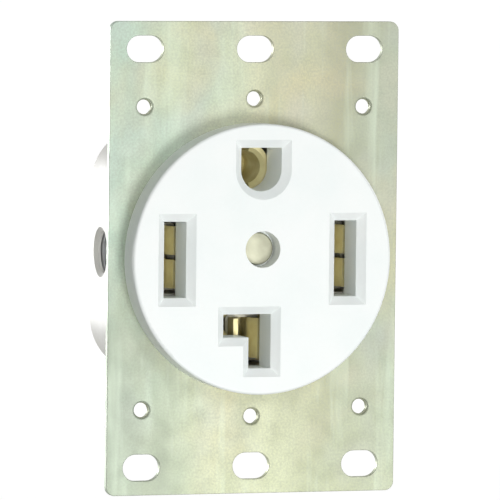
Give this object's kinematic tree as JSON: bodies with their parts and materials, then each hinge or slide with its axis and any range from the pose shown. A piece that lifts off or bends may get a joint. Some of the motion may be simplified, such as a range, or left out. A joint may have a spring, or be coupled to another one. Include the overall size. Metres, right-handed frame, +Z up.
{
  "type": "dryer receptacle",
  "caption": "Flush-mount four-wire dryer receptacle: round white face with blade slots on a rectangular steel strap with slotted and tapped holes, white body behind.",
  "frame": {"origin": "middle of the four box-screw slots, on the strap's rear face", "axes": "+Z up, -Y out of the wall towards the room, +X to the right as seen from the room"},
  "size_m": [0.0606, 0.0403, 0.0944],
  "materials": {
    "chromated_steel": "zinc plated with a yellow chromate",
    "white_moulding": "smooth moulded, semi-gloss",
    "body_moulding": "moulded thermoset, satin, off-white",
    "rivet_steel": "plated, satin",
    "zinc_steel": "zinc plated",
    "contact_brass": "stamped strip",
    "spring_steel": "bright spring steel",
    "lug_tin": "tin plated, satin",
    "screw_steel": "zinc plated",
    "green_screw": "green tinted plating"
  },
  "bodies": {
    "root": {"mounting_strap": "chromated_steel", "face_cover": "white_moulding", "rear_housing": "body_moulding", "centre_rivet": "rivet_steel", "rivet_washer": "zinc_steel", "ground_bond_rivet": "rivet_steel", "hot_contact_x": "contact_brass", "hot_contact_y": "contact_brass", "neutral_contact": "contact_brass", "ground_contact": "contact_brass", "contact_spring_x": "spring_steel", "contact_spring_y": "spring_steel", "contact_spring_neutral": "spring_steel", "ground_spring_collar": "spring_steel", "terminal_lug_x": "lug_tin", "terminal_lug_y": "lug_tin", "terminal_lug_w": "lug_tin", "terminal_lug_g": "lug_tin"},
    "screw_x": {"clamp_screw_x": "screw_steel"},
    "screw_y": {"clamp_screw_y": "screw_steel"},
    "screw_w": {"clamp_screw_w": "screw_steel"},
    "screw_g": {"clamp_screw_g": "green_screw"}
  },
  "joints": [
    {"name": "clamp_x", "type": "slide", "parent": "root", "child": "screw_x", "axis": [0, -1, 0], "range_m": [0, 0.006]},
    {"name": "clamp_y", "type": "slide", "parent": "root", "child": "screw_y", "axis": [0, -1, 0], "range_m": [0, 0.006]},
    {"name": "clamp_w", "type": "slide", "parent": "root", "child": "screw_w", "axis": [0, -1, 0], "range_m": [0, 0.006]},
    {"name": "clamp_g", "type": "slide", "parent": "root", "child": "screw_g", "axis": [0, -1, 0], "range_m": [0, 0.006]}
  ]
}
